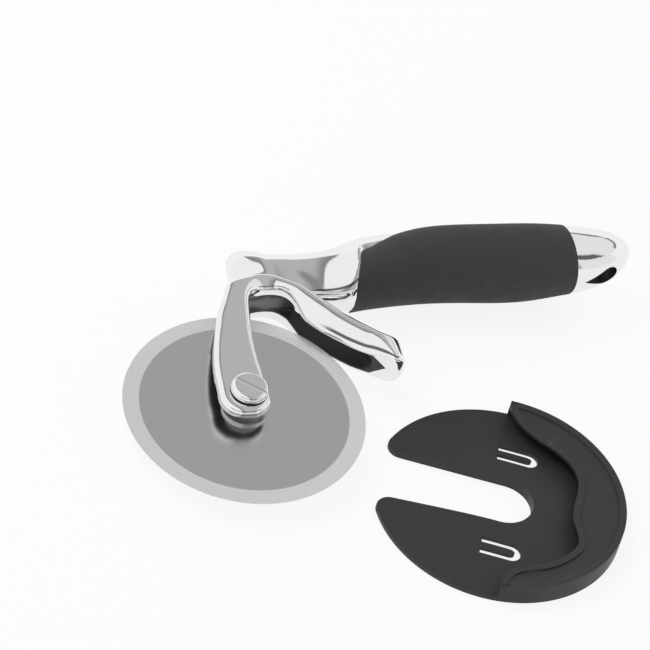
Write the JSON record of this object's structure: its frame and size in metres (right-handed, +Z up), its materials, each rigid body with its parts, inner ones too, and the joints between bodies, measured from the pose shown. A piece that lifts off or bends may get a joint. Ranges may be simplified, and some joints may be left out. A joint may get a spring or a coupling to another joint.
{
  "type": "pizza cutter wheel",
  "caption": "Pizza cutter with a spinning round blade, forked metal yoke with a finger guard, soft grip and separate blade cover.",
  "frame": {"origin": "on the table, under the middle of the box round the cutter and its cover", "axes": "+X along the handle towards its end cap, +Z up from the table, +Y across the table from the cover towards the handle"},
  "size_m": [0.2307, 0.1825, 0.0401],
  "materials": {
    "polished_metal": "polished, lightly figured casting",
    "blade_steel": "satin ground stainless steel with a brighter bevel",
    "screw_steel": "polished screw head",
    "nut_steel": "turned steel",
    "bush_steel": "turned steel",
    "washer_plastic": "plain nylon",
    "tang_steel": "drawn steel rod",
    "core_plastic": "moulded hard plastic",
    "grip_rubber": "soft matte rubber",
    "cover_plastic": "satin moulded plastic"
  },
  "bodies": {
    "frame": {"frame": "polished_metal", "axle_screw": "screw_steel", "axle_nut": "nut_steel", "thrust_washers": "washer_plastic", "tang_rod": "tang_steel", "grip_core": "core_plastic", "soft_grip": "grip_rubber", "end_cap": "polished_metal"},
    "wheel": {"cutting_wheel": "blade_steel", "hub_bush": "bush_steel", "hub_collar": "bush_steel"},
    "cover": {"blade_cover": "cover_plastic"}
  },
  "joints": [
    {"name": "wheel_spin", "type": "hinge", "parent": "frame", "child": "wheel", "pos_m": [-0.06528, 0.00338, 0.01248], "axis": [-0.0507, -0.0236, 0.9984], "continuous": true},
    {"name": "cover_lift", "type": "slide", "parent": "frame", "child": "cover", "axis": [0, 0, 1], "range_m": [0, 0.06]}
  ]
}
